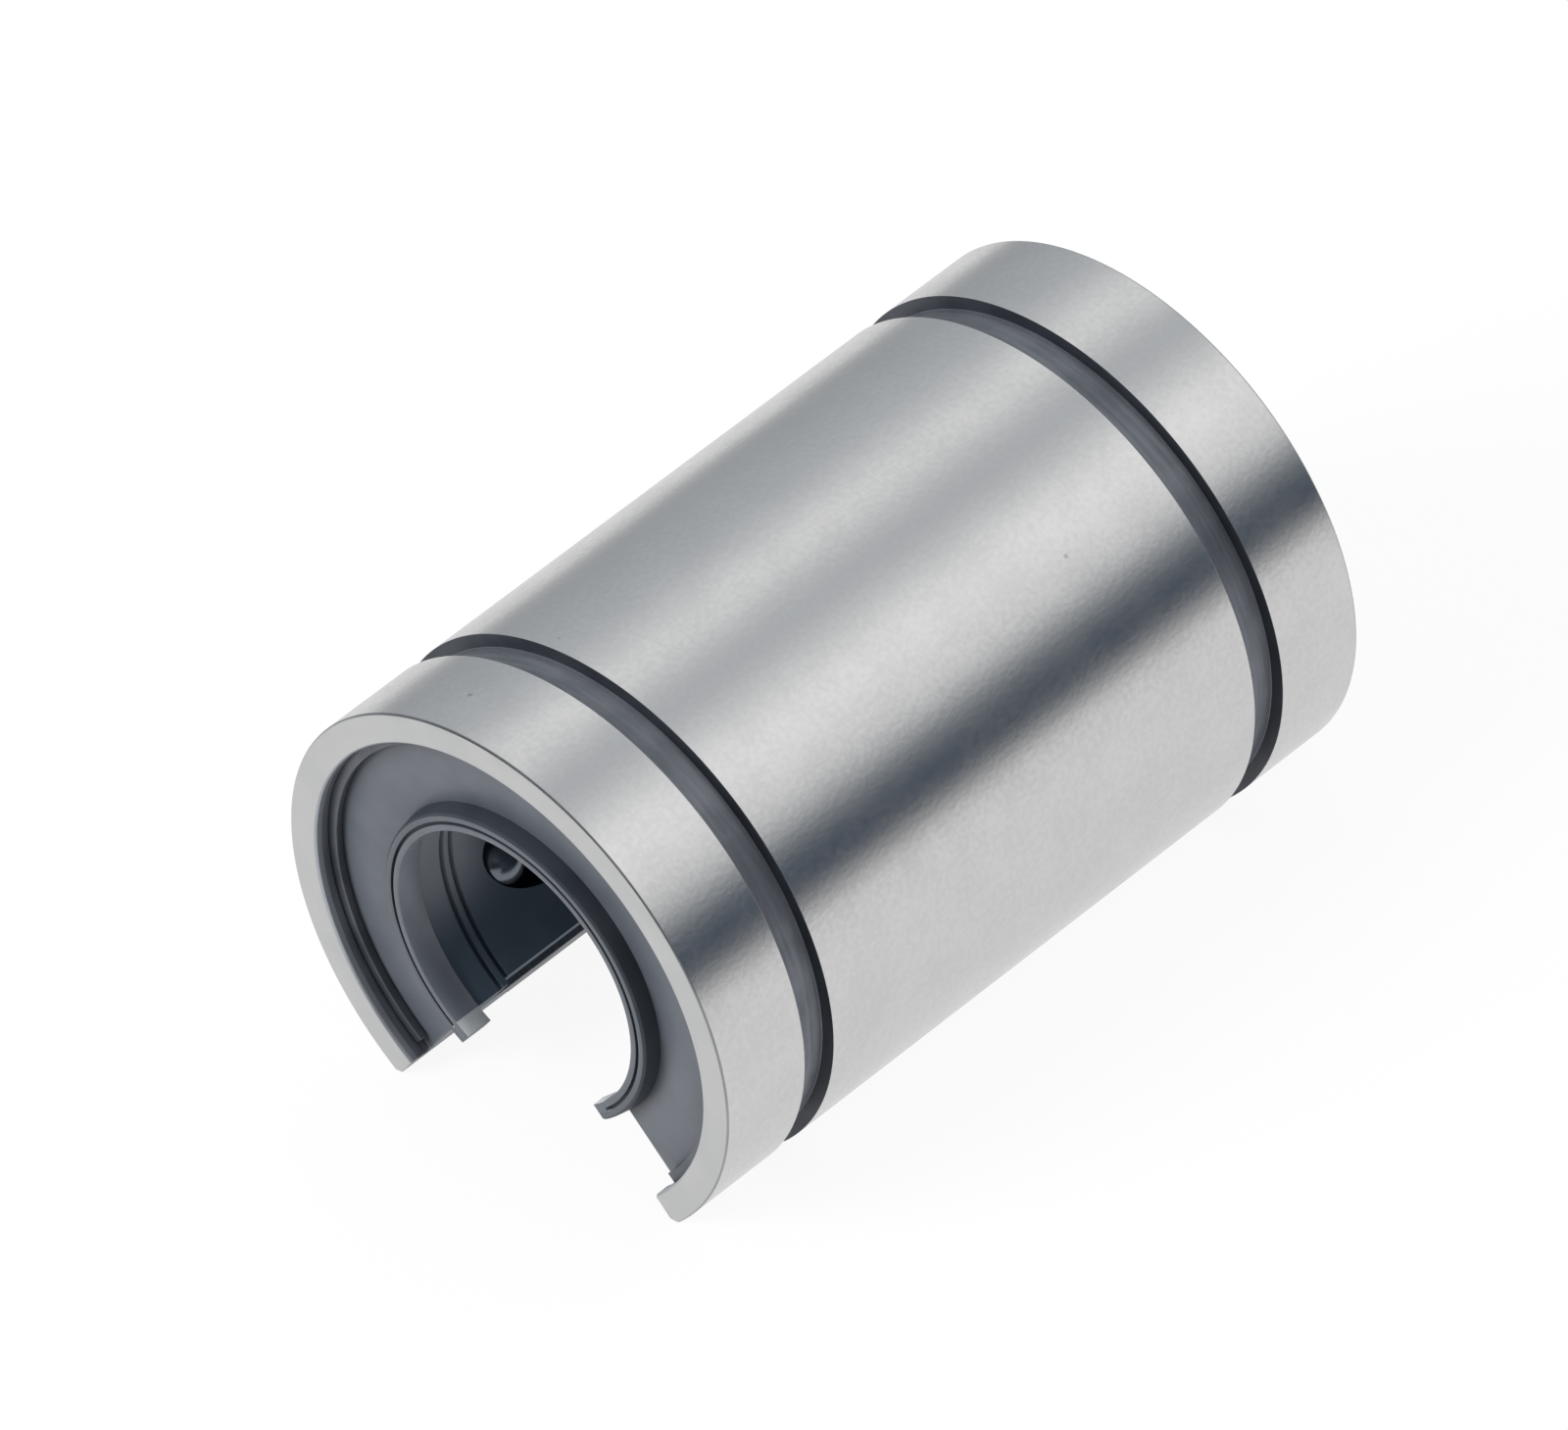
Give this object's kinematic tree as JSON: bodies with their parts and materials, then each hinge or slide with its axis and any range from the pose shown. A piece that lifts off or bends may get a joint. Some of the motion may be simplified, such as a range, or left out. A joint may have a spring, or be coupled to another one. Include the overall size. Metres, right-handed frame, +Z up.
{
  "type": "open linear ball bearing",
  "caption": "Round steel linear bearing sleeve with a lengthwise opening, sealed ends and circulating balls, for a shaft held on a rail.",
  "frame": {"origin": "on the shaft's centre line, halfway along the sleeve", "axes": "+X along the shaft from the front end to the rear end, +Z up, away from the opening, so that the opening faces -Z and the two legs stand on the ground"},
  "size_m": [0.029, 0.019, 0.0166],
  "materials": {
    "ground_steel": "satin ground steel, lightly brushed around",
    "retainer_resin": "dark moulded resin, slightly glossy",
    "seal_rubber": "dark blue-grey moulded rubber over a steel plate, satin",
    "spring_steel": "dark spring steel",
    "ball_steel": "polished bearing steel"
  },
  "bodies": {
    "housing": {"outer_sleeve": "ground_steel", "ball_retainer": "retainer_resin", "front_end_seal": "seal_rubber", "rear_end_seal": "seal_rubber", "front_retaining_ring": "spring_steel", "rear_retaining_ring": "spring_steel"},
    "left_loaded_row": {"left_loaded_ball_1": "ball_steel", "left_loaded_ball_2": "ball_steel", "left_loaded_ball_3": "ball_steel", "left_loaded_ball_4": "ball_steel", "left_loaded_ball_5": "ball_steel", "left_loaded_ball_6": "ball_steel", "left_loaded_ball_7": "ball_steel", "left_loaded_ball_8": "ball_steel"},
    "left_return_row": {"left_return_balls": "ball_steel"},
    "left_front_turn": {"left_front_turn_balls": "ball_steel"},
    "left_rear_turn": {"left_rear_turn_balls": "ball_steel"},
    "right_loaded_row": {"right_loaded_ball_1": "ball_steel", "right_loaded_ball_2": "ball_steel", "right_loaded_ball_3": "ball_steel", "right_loaded_ball_4": "ball_steel", "right_loaded_ball_5": "ball_steel", "right_loaded_ball_6": "ball_steel", "right_loaded_ball_7": "ball_steel", "right_loaded_ball_8": "ball_steel"},
    "right_return_row": {"right_return_balls": "ball_steel"},
    "right_front_turn": {"right_front_turn_balls": "ball_steel"},
    "right_rear_turn": {"right_rear_turn_balls": "ball_steel"},
    "top_loaded_row": {"top_loaded_ball_1": "ball_steel", "top_loaded_ball_2": "ball_steel", "top_loaded_ball_3": "ball_steel", "top_loaded_ball_4": "ball_steel", "top_loaded_ball_5": "ball_steel", "top_loaded_ball_6": "ball_steel", "top_loaded_ball_7": "ball_steel", "top_loaded_ball_8": "ball_steel"},
    "top_return_row": {"top_return_balls": "ball_steel"},
    "top_front_turn": {"top_front_turn_balls": "ball_steel"},
    "top_rear_turn": {"top_rear_turn_balls": "ball_steel"}
  },
  "joints": [
    {"name": "left_loaded_roll", "type": "slide", "parent": "housing", "child": "left_loaded_row", "axis": [1, 0, 0], "range_m": [-0.0006, 0.0006]},
    {"name": "left_return_roll", "type": "slide", "parent": "housing", "child": "left_return_row", "axis": [1, 0, 0], "range_m": [-0.0006, 0.0006]},
    {"name": "left_front_turn_roll", "type": "hinge", "parent": "housing", "child": "left_front_turn", "pos_m": [-0.00814, 0.00618, -0.00071], "axis": [0, 0.9272, -0.3746], "range_deg": [-21, 21]},
    {"name": "left_rear_turn_roll", "type": "hinge", "parent": "housing", "child": "left_rear_turn", "pos_m": [0.00814, 0.00618, -0.00071], "axis": [0, 0.9272, -0.3746], "range_deg": [-21, 21]},
    {"name": "right_loaded_roll", "type": "slide", "parent": "housing", "child": "right_loaded_row", "axis": [1, 0, 0], "range_m": [-0.0006, 0.0006]},
    {"name": "right_return_roll", "type": "slide", "parent": "housing", "child": "right_return_row", "axis": [1, 0, 0], "range_m": [-0.0006, 0.0006]},
    {"name": "right_front_turn_roll", "type": "hinge", "parent": "housing", "child": "right_front_turn", "pos_m": [-0.00814, -0.00618, -0.00071], "axis": [0, -0.9272, -0.3746], "range_deg": [-21, 21]},
    {"name": "right_rear_turn_roll", "type": "hinge", "parent": "housing", "child": "right_rear_turn", "pos_m": [0.00814, -0.00618, -0.00071], "axis": [0, -0.9272, -0.3746], "range_deg": [-21, 21]},
    {"name": "top_loaded_roll", "type": "slide", "parent": "housing", "child": "top_loaded_row", "axis": [1, 0, 0], "range_m": [-0.0006, 0.0006]},
    {"name": "top_return_roll", "type": "slide", "parent": "housing", "child": "top_return_row", "axis": [1, 0, 0], "range_m": [-0.0006, 0.0006]},
    {"name": "top_front_turn_roll", "type": "hinge", "parent": "housing", "child": "top_front_turn", "pos_m": [-0.00814, 0.00166, 0.00599], "axis": [0, 0, 1], "range_deg": [-21, 21]},
    {"name": "top_rear_turn_roll", "type": "hinge", "parent": "housing", "child": "top_rear_turn", "pos_m": [0.00814, 0.00166, 0.00599], "axis": [0, 0, 1], "range_deg": [-21, 21]}
  ],
  "couplings": [
    {"joint": "left_return_roll", "follows": "left_loaded_roll", "ratio": -1},
    {"joint": "left_front_turn_roll", "follows": "left_loaded_roll", "rad_per_m": -603.27},
    {"joint": "left_rear_turn_roll", "follows": "left_loaded_roll", "rad_per_m": -603.27},
    {"joint": "right_return_roll", "follows": "right_loaded_roll", "ratio": -1},
    {"joint": "right_front_turn_roll", "follows": "right_loaded_roll", "rad_per_m": 603.27},
    {"joint": "right_rear_turn_roll", "follows": "right_loaded_roll", "rad_per_m": 603.27},
    {"joint": "top_return_roll", "follows": "top_loaded_roll", "ratio": -1},
    {"joint": "top_front_turn_roll", "follows": "top_loaded_roll", "rad_per_m": 603.27},
    {"joint": "top_rear_turn_roll", "follows": "top_loaded_roll", "rad_per_m": 603.27}
  ]
}
